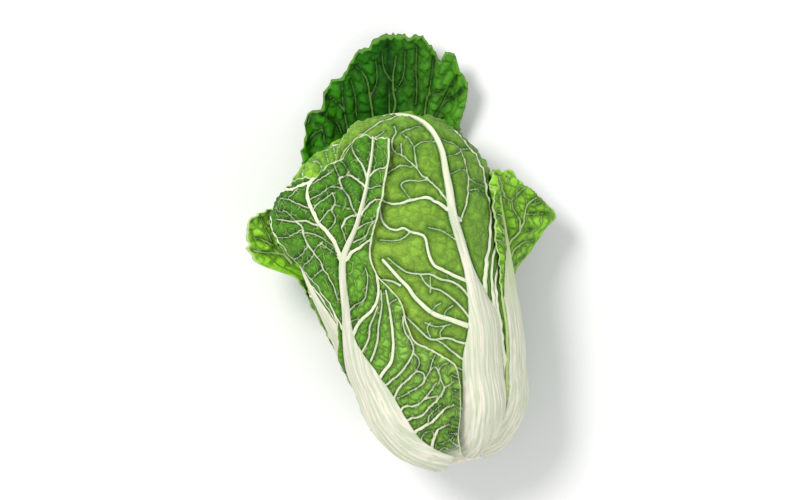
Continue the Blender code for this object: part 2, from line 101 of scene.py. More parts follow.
LEAVES = {
    "leaf_front_left": dict(
        path=[(16, -30), (38, -51), (62, -56), (76, -51), (90, -40), (102, -33), (115, -18),
              (127, -11), (141, -9), (151, -11)],
        reach=[(0, 14, 13), (0.065, 16, 24), (0.115, 18, 40), (0.155, 20, 51), (0.2, 20, 55),
               (0.325, 18, 51), (0.39, 18, 45), (0.43, 14, 43), (0.46, 9, 41), (0.5, 8, 38),
               (0.532, 10, 34), (0.565, 15, 28), (0.6, 20, 21), (0.635, 28, 17), (0.663, 35, 14),
               (0.725, 47, 10), (0.78, 51, 9), (0.83, 53, 8), (0.88, 55, 8), (0.94, 56, 7),
               (0.97, 52, 7), (1, 42, 6)],
        depth=[(0, 1.02), (0.3, 1.025), (0.8, 1.03), (1, 1.045)],
        rib=(25, 6.5),
        rib_shape=[(0, 0.55, 0.7), (0.06, 0.58, 0.85), (0.12, 0.68, 1), (0.2, 0.9, 1),
                   (0.28, 1, 0.95), (0.36, 0.88, 0.85), (0.42, 0.54, 0.72), (0.46, 0.32, 0.62),
                   (0.52, 0.18, 0.54), (0.6, 0.13, 0.45), (0.66, 0.11, 0.38), (0.73, 0.06, 0.3),
                   (0.86, 0.035, 0.16), (1, 0.015, 0.05)],
        tip_line=[(-1, 0.98), (-0.8, 0.97), (-0.6, 0.94), (-0.42, 0.898), (-0.3, 0.915),
                  (-0.21, 0.925), (-0.15, 0.975), (-0.05, 0.978), (0.3, 0.963), (0.8, 0.952),
                  (1, 0.937)],
        wave=(0.006, 0.008),
        lift=[(0, 0, 0), (0.62, 0, 0), (0.74, 0.05, 0), (0.83, 0.1, 0), (0.9, 0.08, 0),
              (1, 0.03, 0)],
        columns=(116, 106), rows=335, cells=6, puff=1.2, frill=(0.6, 1.2),
    ),
    "leaf_front_right": dict(
        path=[(15, 38), (40, 32), (60, 32), (76, 37), (92, 38), (102, 37), (115, 35), (127, 37),
              (141, 42), (160, 46), (192, 47)],
        reach=[(0, 15, 18), (0.14, 26, 33), (0.3, 48, 41), (0.45, 64, 43), (0.6, 60, 43),
               (0.75, 50, 40), (0.88, 42, 34), (1, 26, 20)],
        depth=[(0, 0.97), (0.4, 0.96), (0.65, 0.965), (0.8, 0.985), (1, 0.99)],
        rib=(19, 7),
        rib_shape=[(0, 0.6, 0.7), (0.1, 1, 1), (0.2, 0.95, 0.95), (0.28, 0.84, 0.88),
                   (0.34, 0.58, 0.78), (0.4, 0.34, 0.7), (0.46, 0.24, 0.62), (0.54, 0.21, 0.5),
                   (0.64, 0.14, 0.38), (0.74, 0.085, 0.3), (0.86, 0.045, 0.2), (1, 0.03, 0.1)],
        rib_high=[(0, 1.3), (0.14, 1.5), (0.3, 1.85), (0.36, 2.5), (0.4, 2.1), (0.47, 1),
                  (1, 1)],
        wave=(0.003, 0.004),
        columns=(104, 84), rows=385, puff=0.8, frill=(0.6, 0.6),
        branches=(15, 15),
    ),
    "leaf_crown": dict(
        path=[(16, -25), (60, -45), (100, -52), (140, -52), (190, -50)],
        reach=[(0, 10, 10), (0.3, 30, 30), (0.6, 34, 44), (0.8, 44, 46), (1, 26, 26)],
        depth=[(0, 0.895), (0.7, 0.895), (0.86, 0.925), (1, 0.935)],
        lift=[(0, 0, 0), (0.56, 0, 0), (0.66, 0.06, 0), (0.735, 0.16, 0), (0.8, 0.15, 0),
              (0.88, 0.08, 0), (1, 0.03, 0)],
        rib=(12, 1.5),
        columns=(44, 46), rows=230, puff=0.8, frill=(0.5, 0.5),
        branches=(14, 14),
    ),
    "leaf_left": dict(
        path=[(15, -72), (50, -72), (78, -64), (94, -76), (107, -89), (140, -97)],
        reach=[(0, 11, 11), (0.3, 35, 24), (0.48, 37, 32), (0.6, 29, 34), (0.72, 25, 34),
               (0.85, 30, 34), (1, 22, 22)],
        depth=[(0, 0.935), (0.25, 0.965), (0.5, 0.97), (0.62, 0.95), (1, 0.948)],
        rib=(15, 3.5),
        rib_shape=[(0, 1, 0.7), (0.12, 1.05, 1), (0.3, 0.8, 0.85), (0.5, 0.6, 0.6),
                   (0.7, 0.4, 0.42), (0.8, 0.2, 0.3), (1, 0.08, 0.2)],
        rib_low=[(0, 1.1), (0.15, 1.5), (0.3, 2.6), (0.5, 3.2), (0.65, 2.8), (0.75, 1.5),
                 (0.82, 1), (1, 1)],
        lift=[(0, 0, 0), (0.5, 0, 0), (0.6, 0.04, 0), (0.7, 0.08, 0), (0.8, 0.04, 0),
              (1, 0, 0)],
        wave=(0.004, 0.004),
        columns=(44, 44), rows=230, cells=5.5, frill=(0.4, 0.4),
        branches=(14, 14),
    ),
    "leaf_right": dict(
        path=[(15, 62), (50, 70), (90, 76), (130, 74), (165, 74)],
        reach=[(0, 10, 10), (0.3, 30, 34), (0.6, 36, 42), (0.85, 32, 38), (1, 20, 22)],
        depth=[(0, 0.895), (1, 0.895)],
        rib=(14, 1.2),
        columns=(32, 34), rows=190, puff=0.6,
    ),
    "leaf_back_left": dict(
        path=[(15, -142), (60, -148), (100, -150), (166, -150)],
        reach=[(0, 10, 10), (0.3, 32, 32), (0.6, 42, 32), (0.85, 40, 16), (1, 24, 12)],
        depth=[(0, 0.9), (0.5, 0.9), (1, 0.88)],
        rib=(14, 3),
        columns=(32, 28), rows=180,
    ),
    "leaf_back_right": dict(
        path=[(15, 128), (60, 134), (100, 136), (160, 138)],
        reach=[(0, 10, 10), (0.3, 32, 32), (0.6, 42, 36), (0.85, 40, 34), (1, 24, 24)],
        depth=[(0, 0.94), (0.5, 0.94), (0.8, 0.93), (1, 0.925)],
        rib=(14, 3),
        columns=(36, 34), rows=190,
    ),
    "leaf_outer_right": dict(
        path=[(15, 86), (50, 83), (84, 83), (100, 88), (126, 88)],
        reach=[(0, 12, 10), (0.2, 20, 28), (0.45, 22, 34), (0.6, 22, 34), (0.75, 22, 22),
               (0.9, 20, 20), (1, 8, 14)],
        rib_low=[(0, 1.6), (0.2, 2.8), (0.4, 6), (0.5, 8), (0.6, 10), (0.7, 9),
                 (0.76, 4), (0.82, 1), (1, 1)],
        rib_high=[(0, 1), (0.12, 0.95), (0.3, 0.55), (0.45, 0.5), (0.6, 0.7), (0.7, 1),
                  (1, 1)],
        depth=[(0, 1.005), (0.3, 1.01), (0.8, 1.01), (1, 1)],
        rib=(12, 5), widest_rib=0.97, tip=(0.02, 0.04), wave=(0, 0.012),
        lift=[(0, 0, 0), (0.15, -0.03, 0), (0.62, -0.03, 0), (0.677, -0.02, 0.08),
              (0.70, -0.01, 0.19), (0.736, 0, 0.36),
              (0.754, 0, 0.44), (0.77, 0, 0.54), (0.82, 0, 0.45), (0.86, 0, 0.32),
              (0.906, 0, 0.18), (1, 0, 0.03)],
        columns=(34, 58), rows=290, cells=6.5, puff=1, frill=(0.1, 1.4), folds=2,
        branches=(14, 15),
    ),
    "leaf_outer_left": dict(
        path=[(15, -115), (50, -112), (90, -112), (134, -112)],
        reach=[(0, 9, 9), (0.1, 14, 11), (0.3, 32, 13), (0.5, 38, 13), (0.62, 40, 11),
               (0.7, 40, 18), (0.85, 40, 18), (1, 24, 14)],
        depth=[(0, 0.985), (0.15, 0.98), (0.5, 0.98), (0.62, 0.995), (1, 1)],
        rib=(14, 4), tip=(0.05, 0.02), wave=(0.01, 0.004),
        lift=[(0, 0, 0), (0.3, 0, 0), (0.715, 0, 0.02), (0.75, 0, 0.32), (0.785, 0, 0.31),
              (0.815, 0, 0.29), (0.86, 0, 0.24), (0.9, 0, 0.13), (0.94, 0, 0.03),
              (1, 0, 0.03)],
        columns=(36, 50), rows=280, shown="inner", cells=6.5, puff=1, frill=(1.2, 1.2), folds=2,
        branches=(14, 14),
    ),
    "leaf_under": dict(
        path=[(17, 180), (50, 180), (90, 180), (109, 180), (126, 181), (134, 181), (145, 178),
              (159, 170)],
        reach=[(0, 12, 12), (0.2, 34, 34), (0.4, 52, 52), (0.65, 46, 46), (0.83, 28, 32),
               (0.91, 25, 31), (1, 23, 22)],
        depth=[(0, 1), (0.12, 1.06), (0.4, 1.08), (0.775, 1.08), (0.83, 1.18), (0.91, 1.31),
               (1, 1.57)],
        rib=(16, 6),
        rib_shape=[(0, 1, 0.7), (0.12, 1.05, 1), (0.3, 0.72, 0.85), (0.5, 0.34, 0.6),
                   (0.7, 0.14, 0.3), (0.78, 0.05, 0.08), (1, 0.01, 0)],
        tip=(0.055, 0.1), notch=(-1, 0.62, 0.05, 0.016), wave=(0.02, 0.02),
        columns=(76, 76), rows=330, shown="inner", cells=8, puff=1.5, frill=(1.8, 1.8), folds=3.4,
        branches=(15, 15),
    ),
}

# The photograph: the head's lean in it, a pixel's width, the pixel of the head's middle, and its
# size. The camera's height and the level at which the picture has the right width are in metres.
LEAN = 10
PIXEL = 0.8
ORIGIN_PIXEL = (413, 290)
PICTURE = (800, 500)
CAMERA_HEIGHT = 6
CAMERA_LEVEL = 0.09
SENSOR = 36
LEANING = Matrix.Rotation(math.radians(-LEAN), 4, "Z")

# Lamps: name, place as the photograph sees them, size, power and colour, with the point that they
# light, the sky and the floor, all in metres
LAMPS = [
    ("key", (-1.35, 1.15, 2.6), 1.2, 72, (1, 0.99, 0.97)),
    ("fill", (1.7, -1, 2.2), 2.6, 26, (0.98, 0.99, 1)),
]
LIT_POINT = Vector((0, 0.03, 0.08))
SKY = (0.98, 0.99, 1, 1)
SKY_STRENGTH = 0.56
FLOOR_SIZE = 6
FLOOR_DROP = 0.0005

# A kind of vein has a half width at its start and at its end, and a height
VEIN_KINDS = {
    "rising": (0.8, 2.2, 1.5),
    "main": (1.75, 0.8, 1.6),
    "thick": (1.1, 0.45, 1.25),
    "edge": (0.95, 0.85, 0.7),
    "mid": (0.6, 0.3, 0.85),
    "thin": (0.32, 0.18, 0.5),
    "rule": (0.65, 0.2, 0.7),
}

# Veins that were drawn after the photograph, as pixels of it
DRAWN_VEINS = {
    "leaf_front_left": [
        ("main", [(343, 264), (339, 251), (336, 244), (332, 237), (327, 231), (321, 225),
            (316, 216), (312, 209), (309, 200), (309, 192), (311, 183), (315, 176), (321, 169),
            (329, 163), (338, 158), (347, 152)]),
        ("edge", [(316, 175), (311, 182), (304, 186), (295, 189), (287, 190), (280, 193),
            (275, 198), (272, 206), (272, 217), (274, 230), (280, 243), (288, 257), (298, 267),
            (310, 282), (322, 295), (333, 310), (342, 327), (347, 340)]),
        ("thick", [(347, 260), (354, 251), (361, 247), (367, 242), (372, 239)]),
        ("mid", [(367, 178), (363, 167), (357, 159), (354, 154), (352, 147)]),
        ("mid", [(367, 178), (371, 165), (372, 157), (373, 147), (374, 141)]),
        ("mid", [(362, 215), (368, 206), (374, 202), (382, 200)]),
        ("mid", [(367, 179), (372, 175), (378, 171), (384, 169), (390, 162)]),
        ("thin", [(368, 189), (374, 188), (381, 187)]),
        ("thin", [(358, 229), (362, 226), (368, 224), (376, 221)]),
        ("thin", [(354, 243), (366, 236), (369, 229), (374, 223)]),
        ("mid", [(343, 228), (349, 218), (357, 216), (362, 214)]),
        ("thin", [(349, 246), (345, 237), (343, 230), (341, 222)]),
        ("mid", [(366, 188), (358, 181), (349, 177), (340, 179), (344, 190), (349, 197), (354, 210),
            (360, 218)]),
        ("thin", [(334, 163), (337, 171), (340, 178)]),
        ("thin", [(339, 160), (344, 164), (349, 172), (352, 177)]),
        ("thin", [(313, 211), (319, 204), (326, 199), (334, 194)]),
        ("thin", [(321, 224), (327, 214), (332, 210), (335, 206), (342, 207), (350, 209)]),
        ("thin", [(334, 195), (336, 202), (333, 211), (336, 219), (329, 231)]),
        ("thin", [(313, 184), (321, 180), (327, 177), (334, 171)]),
        ("thin", [(344, 190), (336, 188), (326, 190), (318, 196), (311, 200)]),
        ("thick", [(353, 336), (357, 326), (363, 318), (372, 310), (378, 297), (378, 280),
            (375, 266), (371, 250), (371, 238)]),
        ("thin", [(349, 311), (355, 305), (364, 300), (367, 290), (368, 278), (366, 268)]),
        ("thin", [(350, 322), (356, 319), (362, 319)]),
        ("mid", [(361, 353), (366, 345), (369, 337), (370, 326), (374, 317), (378, 306)]),
        ("mid", [(371, 360), (375, 350), (378, 338), (379, 325), (382, 305), (381, 290)]),
        ("thick", [(378, 380), (383, 372), (391, 361), (393, 350), (393, 336), (391, 318),
            (388, 300), (386, 290)]),
        ("mid", [(385, 385), (396, 376), (405, 366), (413, 352), (412, 342), (405, 331), (403, 318),
            (405, 312)]),
        ("thin", [(413, 352), (418, 357), (419, 364), (416, 370)]),
        ("mid", [(394, 398), (399, 387), (408, 378), (417, 371), (423, 372), (424, 380), (417, 387),
            (408, 392), (398, 397)]),
        ("mid", [(400, 411), (404, 406), (415, 404), (424, 398), (430, 390), (436, 382)]),
        ("mid", [(424, 398), (431, 396), (437, 395)]),
        ("mid", [(405, 421), (410, 418), (420, 415), (428, 408), (438, 397), (446, 386),
            (453, 380)]),
        ("thick", [(413, 434), (418, 428), (427, 424), (437, 416), (444, 408), (453, 404)]),
        ("thin", [(428, 423), (429, 415), (436, 408), (441, 403)]),
        ("thick", [(434, 455), (432, 447), (433, 440), (437, 430), (443, 425), (449, 423)]),
        ("thin", [(421, 440), (424, 433), (431, 430), (434, 434)]),
        ("thin", [(424, 380), (429, 370), (432, 360), (435, 354)]),
        ("thin", [(429, 370), (434, 366), (438, 370), (440, 378), (437, 386)]),
        ("thin", [(438, 370), (443, 364), (448, 362)]),
        ("thin", [(440, 378), (444, 388), (441, 396)]),
        ("thin", [(436, 455), (443, 447), (450, 449), (458, 446)]),
        ("thin", [(439, 443), (448, 440), (456, 434)]),
        ("mid", [(467, 378), (458, 377), (451, 374)]),
        ("mid", [(466, 390), (459, 390), (453, 388)]),
        ("mid", [(466, 399), (460, 398), (453, 395)]),
        ("mid", [(466, 412), (459, 407), (453, 403)]),
        ("mid", [(466, 419), (459, 418), (452, 417)]),
        ("mid", [(464, 426), (458, 426), (450, 425)]),
        ("mid", [(464, 434), (457, 432), (449, 433)]),
        ("mid", [(464, 446), (458, 445), (450, 440)]),
        ("thin", [(396, 299), (391, 302), (389, 306)]),
        ("mid", [(297, 222), (303, 227), (305, 236), (309, 245), (314, 252), (321, 261), (324, 269),
            (329, 276), (334, 286), (339, 300)]),
        ("mid", [(320, 226), (313, 224), (306, 221), (297, 222), (288, 221), (279, 220)]),
        ("thin", [(312, 209), (303, 206), (296, 203), (289, 200), (281, 200), (277, 207),
            (280, 212), (287, 212), (292, 217), (297, 222)]),
        ("thin", [(299, 190), (293, 195), (288, 200)]),
        ("thin", [(304, 229), (297, 234), (289, 237), (280, 238)]),
        ("thin", [(306, 233), (313, 234), (319, 236), (327, 241), (335, 247)]),
        ("thin", [(323, 242), (314, 252)]),
        ("thin", [(309, 247), (302, 255), (295, 260)]),
        ("thin", [(315, 254), (308, 262), (302, 268)]),
        ("thin", [(321, 243), (329, 249), (339, 256)]),
        ("thin", [(324, 269), (317, 275), (312, 279)]),
    ],
    "leaf_front_right": [
        ("mid", [(452, 207), (442, 196), (435, 186), (427, 180), (420, 174), (414, 167), (407, 161),
            (400, 156), (394, 151), (392, 145), (393, 139), (396, 134), (394, 126)]),
        ("thin", [(384, 176), (394, 170), (402, 167), (412, 168)]),
        ("thin", [(417, 170), (415, 156), (414, 149), (417, 145), (425, 142), (435, 142)]),
        ("thin", [(414, 148), (409, 141), (403, 135)]),
        ("thin", [(427, 181), (415, 182), (405, 183), (401, 186), (404, 191), (410, 200)]),
        ("thin", [(401, 145), (402, 157)]),
        ("thin", [(400, 134), (409, 130), (421, 127)]),
        ("thick", [(460, 221), (450, 212), (440, 205), (432, 200), (424, 198), (414, 200),
            (405, 203), (396, 204), (387, 203), (381, 200)]),
        ("mid", [(461, 218), (465, 207), (467, 197), (468, 185), (467, 172), (464, 161), (461, 152),
            (457, 147), (451, 144), (447, 141), (439, 139)]),
        ("thin", [(460, 149), (470, 150)]),
        ("thin", [(461, 151), (455, 156), (446, 157)]),
        ("thin", [(467, 171), (460, 171), (448, 175)]),
        ("thin", [(468, 179), (475, 184), (485, 187)]),
        ("thin", [(468, 190), (476, 190), (487, 197)]),
        ("rising", [(442, 121), (447, 124), (455, 130), (460, 137), (466, 146), (472, 152),
            (477, 160), (480, 167), (484, 177), (486, 190), (488, 200), (490, 214), (489, 235),
            (489, 247), (486, 260), (485, 272), (484, 286), (486, 304), (490, 330)]),
        ("rising", [(488, 196), (494, 206), (497, 217), (498, 230), (496, 245), (492, 260),
            (491, 275), (492, 290), (496, 320), (500, 360)]),
        ("rising", [(498, 222), (502, 232), (502, 245), (500, 257), (497, 271), (495, 284),
            (497, 304), (502, 340), (506, 380), (508, 420)]),
        ("thick", [(474, 284), (457, 277), (445, 271), (435, 266), (430, 259), (427, 247),
            (424, 237), (417, 234), (410, 232), (404, 229), (395, 230), (387, 227), (382, 220),
            (380, 210)]),
        ("thin", [(411, 232), (402, 239), (395, 241), (380, 240)]),
        ("thin", [(462, 245), (450, 236), (440, 231), (428, 228)]),
        ("mid", [(469, 297), (460, 287), (450, 281), (440, 279), (430, 274), (421, 274), (407, 272),
            (399, 267), (388, 258)]),
        ("thin", [(430, 292), (430, 276)]),
        ("mid", [(468, 316), (460, 306), (450, 297), (440, 290), (430, 287), (424, 281),
            (420, 274)]),
        ("main", [(467, 325), (450, 319), (440, 316), (430, 311), (422, 304), (414, 296),
            (408, 287), (400, 279), (392, 270), (383, 260)]),
        ("mid", [(400, 285), (392, 281), (378, 279)]),
        ("mid", [(467, 343), (458, 341), (450, 338), (440, 338), (430, 338), (422, 332), (415, 325),
            (407, 317), (400, 309)]),
        ("mid", [(467, 361), (460, 357), (452, 351), (444, 344), (436, 339)]),
        ("thin", [(467, 372), (458, 367), (448, 361), (440, 357), (432, 352)]),
        ("thin", [(430, 322), (427, 328), (430, 336)]),
        ("thin", [(425, 322), (436, 326), (450, 324)]),
        ("thin", [(445, 325), (440, 331), (441, 338)]),
        ("thin", [(440, 303), (434, 307), (431, 312)]),
        ("thin", [(452, 305), (446, 310), (443, 317)]),
    ],
    "leaf_crown": [
        ("mid", [(303, 176), (305, 165), (316, 161), (321, 166), (321, 172)]),
        ("mid", [(309, 156), (316, 161)]),
        ("mid", [(321, 143), (326, 154), (329, 164)]),
        ("mid", [(326, 150), (336, 146), (344, 145), (353, 141)]),
        ("mid", [(334, 138), (334, 149), (337, 160)]),
        ("mid", [(349, 131), (346, 138), (344, 145)]),
        ("mid", [(371, 137), (374, 132), (382, 129), (393, 127)]),
        ("mid", [(381, 138), (387, 134), (394, 132)]),
    ],
    "leaf_outer_right": [
        ("mid", [(509, 245), (512, 240), (516, 236), (520, 230), (519, 221), (515, 212), (511, 202),
            (503, 196), (497, 199)]),
        ("mid", [(504, 197), (503, 190), (502, 185), (497, 176)]),
        ("thin", [(511, 201), (517, 195), (523, 189)]),
        ("mid", [(520, 231), (524, 220), (526, 207), (530, 202), (540, 196)]),
        ("mid", [(510, 258), (516, 249), (525, 242), (534, 241)]),
        ("thin", [(520, 230), (532, 230)]),
        ("thin", [(526, 214), (537, 214), (549, 214)]),
        ("thin", [(532, 205), (541, 202), (550, 197)]),
        ("thin", [(509, 270), (516, 262), (524, 256)]),
        ("thin", [(512, 280), (517, 275), (520, 268)]),
        ("mid", [(509, 276), (508, 288), (507, 300), (509, 340), (513, 380)]),
        ("mid", [(512, 276), (513, 288), (514, 300), (515, 340), (517, 380)]),
    ],
    "leaf_outer_left": [
        ("mid", [(289, 263), (282, 255), (275, 253), (261, 252), (250, 250)]),
        ("thin", [(275, 253), (267, 243), (256, 238), (249, 237)]),
        ("thin", [(268, 240), (262, 228), (259, 217)]),
        ("thin", [(282, 256), (275, 240), (270, 225), (266, 208)]),
    ],
    "leaf_under": [
        ("mid", [(372, 113), (369, 93), (365, 73), (355, 62)]),
        ("mid", [(392, 111), (395, 98), (393, 88), (393, 68), (396, 50)]),
        ("thin", [(416, 100), (417, 80), (416, 66), (417, 41)]),
        ("mid", [(426, 116), (426, 102), (429, 91), (443, 84)]),
        ("thin", [(434, 117), (444, 98), (457, 73)]),
        ("thin", [(443, 100), (455, 92), (465, 84)]),
        ("thin", [(323, 139), (320, 125), (314, 119)]),
        ("thin", [(340, 129), (335, 119), (313, 105)]),
        ("thin", [(346, 125), (342, 105), (340, 79)]),
        ("thin", [(355, 112), (354, 93), (349, 74)]),
        ("thin", [(369, 93), (376, 78), (375, 55)]),
        ("thin", [(393, 88), (403, 72), (405, 46)]),
        ("thin", [(429, 91), (432, 72), (434, 52)]),
        ("thin", [(313, 105), (309, 112), (305, 120)]),
        ("thin", [(393, 78), (384, 66), (381, 48)]),
        ("thin", [(320, 125), (310, 132), (305, 140)]),
        ("thin", [(342, 105), (330, 94), (322, 92)]),
    ],
    "leaf_left": [
        ("thick", [(289, 258), (299, 271), (309, 283), (319, 294), (327, 306), (336, 321),
            (345, 338)]),
        ("thick", [(292, 268), (300, 283), (309, 293), (320, 309), (330, 322), (342, 338),
            (352, 352)]),
        ("thick", [(297, 287), (306, 300), (316, 318), (326, 332), (336, 348), (345, 362)]),
        ("thin", [(299, 271), (297, 277)]),
        ("thin", [(304, 277), (302, 284)]),
        ("thin", [(311, 285), (308, 292)]),
    ],
}

# Veins are cut into steps. A drawn one counts where the leaf faces upwards at least this much and
# lies within reach of the drawing, and the ones that grow by rule keep clear of it.
STEP = 0.6
LEAST_UPWARD = 0.08
REACH_OF_DRAWING = 3
CLEAR_OF_DRAWING = 9

# Veins that grow by rule: where the first starts and how much of the leaf they share out, how much
# they slant, bend and fork, in how many places they are worked out, and where they end
FIRST_VEIN = 0.06
VEIN_SPAN = 0.86
VEIN_SLANT = 0.55
VEIN_BEND = 0.012
FORK_SPREAD = 0.09
FORK_SIZE = 0.7
VEIN_PLACES = 90
LAST_ROW = 0.99
SHORTEST_VEIN = 24

# Relief of the veins and of the fine net. On the outer face of a leaf that shows its inner one the
# veins stand lower, and so they do on the shown inner face.
NEAREST_VEINS = 6
VEIN_SPREAD = 1.05
INNER_VEINS = 0.6
BACK_OF_VEINS = 0.45
NET_HALF_WIDTH = 0.55
NET_HEIGHT = 0.35
NET_WANDER = 0.9
SEED_STEP = 3

# Relief of the blade. The puffed cells start at the edge of a vein or of the net, the swell at the
# edge of a vein, and both rise over a width. A pair is where a thing starts and is full, along the
# leaf, or starts to fade and is gone.
PUFF_WIDTH = 2.1
SWELL = 0.7
SWELL_WIDTH = 5.5
CRUMPLE = 1
BLADE_STARTS = 1.5
YOUNG = (0.02, 0.16)
FOLD_SPACING = 13
FOLD_DRIFT = 2.4
FOLDED = (0.6, 0.8)
MARGIN_WAVES = 5.5
MARGIN_FRILLS = 17
FRILL_DRIFT = 1.7
FRILLED = (0.2, 0.55)
THIN_MARGIN = 0.35

# Grooves along the petiole, and the half widths between which a thin midrib loses its pale shade
GROOVES = 0.2
GROOVE_SPACING = 3.4
GROOVE_DRIFT = 2.2
GROOVES_FADE = (0.35, 0.5)
THIN_RIB = (0.15, 0.5)

# What a finish reads at a point of a leaf: its distance from the nearest vein, net, rib and rim,
# within these limits, and its place
GAP_LIMITS = {"vein_gap": (-3, 8), "net_gap": (0, 5), "rib_gap": (-20, 20), "rim_gap": (0, 5)}
ATTRIBUTES = [*GAP_LIMITS, "vein_width", "tone", "along", "across"]

# The two flat faces of a leaf stand this far apart before they are laid on the head, and the one
# that is hidden more has a coarser grid
FACE_GAP = 0.1
HIDDEN_FACE = 0.5


def bent(t, start, end, start_slope, end_slope):
    """A cubic from start to end as t goes from 0 to 1."""
    return (
        (1 + 2 * t) * (1 - t) ** 2 * start
        + t * (1 - t) ** 2 * start_slope
        + t * t * (3 - 2 * t) * end
        + t * t * (t - 1) * end_slope
    )


def eased(knots, values, at):
    """A smooth curve through the values, never past them, and held level beyond both ends."""
    knots = np.asarray(knots, float)
    values = np.asarray(values, float)
    at = np.clip(at, knots[0], knots[-1])
    rise = np.diff(values) / np.diff(knots)
    before, after = rise[:-1], rise[1:]
    turns = before * after <= 0
    inner = np.where(turns, 0.0, 2 * before * after / np.where(turns, 1.0, before + after))
    slopes = np.concatenate([rise[:1], inner, rise[-1:]])
    left = np.clip(np.searchsorted(knots, at) - 1, 0, len(knots) - 2)
    step = knots[left + 1] - knots[left]
    t = (at - knots[left]) / step
    return bent(t, values[left], values[left + 1], step * slopes[left], step * slopes[left + 1])


def eased_column(rows, column, at):
    return eased([row[0] for row in rows], [row[column] for row in rows], at)


def smooth_step(low, high, value):
    t = np.clip((value - low) / (high - low), 0.0, 1.0)
    return t * t * (3 - 2 * t)


def in_head(ball):
    """Points of the unit ball, placed in the head: x sideways, y along it, z up."""
    along = ball[..., 1]
    half_width = eased(ALONG, HALF_WIDTH, along)
    return np.stack(
        [
            eased(ALONG, BOW, along) + half_width * ball[..., 0],
            HALF_LENGTH * along,
            eased(ALONG, MIDDLE, along) + HEIGHT_TO_WIDTH * half_width * ball[..., 2],
        ],
        axis=-1,
    )


def direction(angle, azimuth):
    """The way from the middle of the head at an angle from its base, and the way across it."""
    angle = np.radians(angle)
    azimuth = np.radians(azimuth)
    out = np.stack(
        [
            np.sin(angle) * np.sin(azimuth),
            -np.cos(angle),
            np.sin(angle) * np.cos(azimuth),
        ],
        axis=-1,
    )
    across = np.stack([np.cos(azimuth), np.zeros_like(azimuth), -np.sin(azimuth)], axis=-1)
    return out, across


def leaf_places(leaf, side, row, share):
    """Where places of a leaf lie: side -1 or 1, row 0 at the petiole to 1 at the tip, and share
    0 on the midrib to 1 at the margin."""
    def by_side(low, high):
        return np.where(side < 0, low, high)

    def on_side(rows, along):
        return by_side(eased_column(rows, 1, along), eased_column(rows, 2, along))

    end = 1 - by_side(*leaf["tip"]) * share**2
    if "tip_line" in leaf:
        end = eased_column(leaf["tip_line"], 1, side * share)
    along = row * end + VEIN_SLANT * row * (1 - row) * share
    if "notch" in leaf:
        notched_side, middle, width, depth = leaf["notch"]
        cut = depth * np.exp(-(((share - middle) / width) ** 2)) * row**6
        along = along - np.where(side == notched_side, cut, 0.0)
    angles = [point[0] for point in leaf["path"]]
    angle = angles[0] + (angles[-1] - angles[0]) * along
    azimuth = eased(angles, [point[1] for point in leaf["path"]], angle)
    out, across = direction(angle, azimuth)

    reach = np.radians(on_side(leaf["reach"], along))
    rib_reach = leaf["rib"][0] / HEAD_RADIUS * eased_column(leaf["rib_shape"], 1, along)
    wider = by_side(eased_column(leaf["rib_low"], 1, along), eased_column(leaf["rib_high"], 1, along))
    rib_reach = np.minimum(rib_reach * wider, leaf["widest_rib"] * reach)
    spread = side * reach * share
    way = np.cos(spread)[..., None] * out + np.sin(spread)[..., None] * across
    blade = np.clip((reach * share - rib_reach) / (reach - rib_reach), 0.0, 1.0)

    wave = 1 + np.sin(2 * math.pi * MARGIN_WAVES * along + side)
    wave = wave * by_side(*leaf["wave"]) * blade**2
    drift = FRILL_DRIFT * np.sin(31 * along)
    frill = 0.5 + 0.5 * np.sin(2 * math.pi * MARGIN_FRILLS * along + 2 * side + drift)
    frill = frill * by_side(*leaf["frill"]) / HEAD_RADIUS * blade**4 * smooth_step(*FRILLED, along)
    lift = on_side(leaf["lift"], along) * blade
    across_blade = spread * HEAD_RADIUS
    fold = np.sin(2 * math.pi * across_blade / FOLD_SPACING + FOLD_DRIFT * np.sin(9 * along))
    fold = fold * leaf["folds"] / HEAD_RADIUS * blade * smooth_step(*FOLDED, along)

    rib_gap = (reach * share - rib_reach) * HEAD_RADIUS
    to_tip = (1 - row) * math.radians(angles[-1] - angles[0])
    return dict(
        way=way,
        sheet=eased_column(leaf["depth"], 1, along) + wave + frill + lift + fold,
        lift=lift,
        blade=blade,
        along=along,
        crest=leaf["rib"][1] * eased_column(leaf["rib_shape"], 2, along),
        from_crest=reach * share / rib_reach,
        across=across_blade,
        rib_gap=rib_gap + 1 - smooth_step(*THIN_RIB, rib_reach * HEAD_RADIUS),
        rim_gap=np.minimum((1 - share) * reach, to_tip) * HEAD_RADIUS,
    )


def places_on_grid(leaf, across, rows):
    """Places of every point where a column across the leaf, -1 to 1, meets a row."""
    share, row = np.meshgrid(across, rows)
    return leaf_places(leaf, np.where(share < 0, -1.0, 1.0), row, np.abs(share))


def middle_of(places):
    return in_head(places["sheet"][..., None] * places["way"])


def face_grid(leaf, fineness):
    """Columns across the leaf, -1 to 1, and rows along it, 0 to 1."""
    low, high = (round(count * fineness) for count in leaf["columns"])
    rows = round(leaf["rows"] * fineness)
    column = np.arange(low + high + 1) - low
    across = np.where(column < 0, column / low, column / high)
    return across, np.arange(rows + 1) / rows


def from_pixel(pixels):
    """Points of the photograph as x and y in the head's frame."""
    pixels = np.asarray(pixels, float)
    right = (pixels[..., 0] - ORIGIN_PIXEL[0]) * PIXEL
    up = (ORIGIN_PIXEL[1] - pixels[..., 1]) * PIXEL
    lean = math.radians(LEAN)
    return np.stack(
        [
            right * math.cos(lean) + up * math.sin(lean),
            up * math.cos(lean) - right * math.sin(lean),
        ],
        axis=-1,
    )


